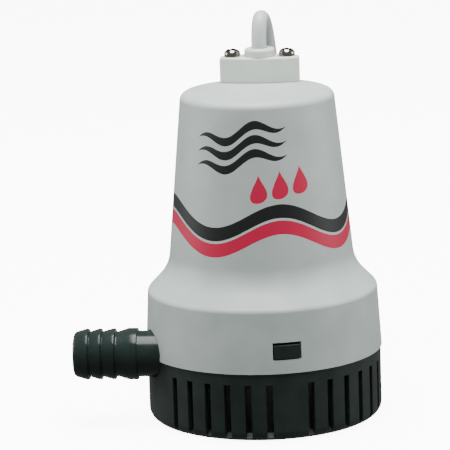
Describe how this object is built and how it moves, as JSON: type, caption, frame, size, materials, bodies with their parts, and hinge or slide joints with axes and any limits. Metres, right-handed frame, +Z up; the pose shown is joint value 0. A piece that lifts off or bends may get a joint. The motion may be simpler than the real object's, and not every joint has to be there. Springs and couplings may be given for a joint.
{
  "type": "submersible bilge pump",
  "caption": "Submersible centrifugal bilge pump: tapered sealed motor housing pressed on to a slotted strainer, side hose barb, sheathed cable from a clamped gland on top.",
  "frame": {"origin": "middle of the strainer's flat underside, on the pump's axis", "axes": "+Z up along the motor's axis; the hose barb points along -X; the cable gland is at the +Y side of the top"},
  "size_m": [0.1212, 0.2213, 0.1579],
  "materials": {
    "white_housing": "smooth moulded, satin to gloss",
    "grey_grommet": "moulded",
    "black_plastic": "moulded, satin",
    "grey_plastic": "moulded",
    "ivory_plastic": "moulded",
    "stainless": "plain",
    "plated_can": "zinc plated, drawn",
    "ferrite": "sintered",
    "laminations": "stacked sheet",
    "copper": "enamelled wire and drawn copper",
    "carbon": "pressed",
    "brass": "stamped",
    "bronze": "sintered, oiled",
    "seal_rubber": "moulded nitrile",
    "grey_sheath": "extruded PVC",
    "core_insulation": "extruded PVC, tinned ends"
  },
  "bodies": {
    "pump": {"motor_housing": "white_housing", "gland_cap": "white_housing", "cable_grommet": "grey_grommet", "strainer_base": "black_plastic", "volute_body": "black_plastic", "suction_cover": "black_plastic", "seal_plate": "grey_plastic", "end_bell": "grey_plastic", "motor_support": "grey_plastic", "gland_screws": "stainless", "volute_screws": "stainless", "plate_screws": "stainless", "motor_screws": "stainless", "motor_can": "plated_can", "field_magnets": "ferrite", "carbon_brushes": "carbon", "brush_springs": "brass", "motor_terminals": "brass", "lower_bearing": "bronze", "upper_bearing": "bronze", "plate_seal_ring": "seal_rubber", "shaft_seal": "seal_rubber", "power_cable": "grey_sheath", "cable_coil": "grey_sheath", "cable_tail": "grey_sheath", "cable_leads": "core_insulation", "lead_wires": "core_insulation"},
    "rotor": {"motor_shaft": "stainless", "armature_core": "laminations", "armature_windings": "copper", "commutator": "copper", "impeller": "ivory_plastic", "impeller_nut": "stainless"},
    "press_tab_front": {"press_tab_front": "black_plastic"},
    "press_tab_rear": {"press_tab_rear": "black_plastic"}
  },
  "joints": [
    {"name": "rotor_spin", "type": "hinge", "parent": "pump", "child": "rotor", "pos_m": [0, 0, 0], "axis": [0, 0, 1], "continuous": true},
    {"name": "press_tab_front_press", "type": "hinge", "parent": "pump", "child": "press_tab_front", "pos_m": [0.01097, -0.04095, 0.0258], "axis": [-0.9659, -0.2588, 0], "range_deg": [0, 15], "stiffness_Nm_per_rad": 0.15},
    {"name": "press_tab_rear_press", "type": "hinge", "parent": "pump", "child": "press_tab_rear", "pos_m": [-0.01097, 0.04095, 0.0258], "axis": [0.9659, 0.2588, 0], "range_deg": [0, 15], "stiffness_Nm_per_rad": 0.15}
  ]
}
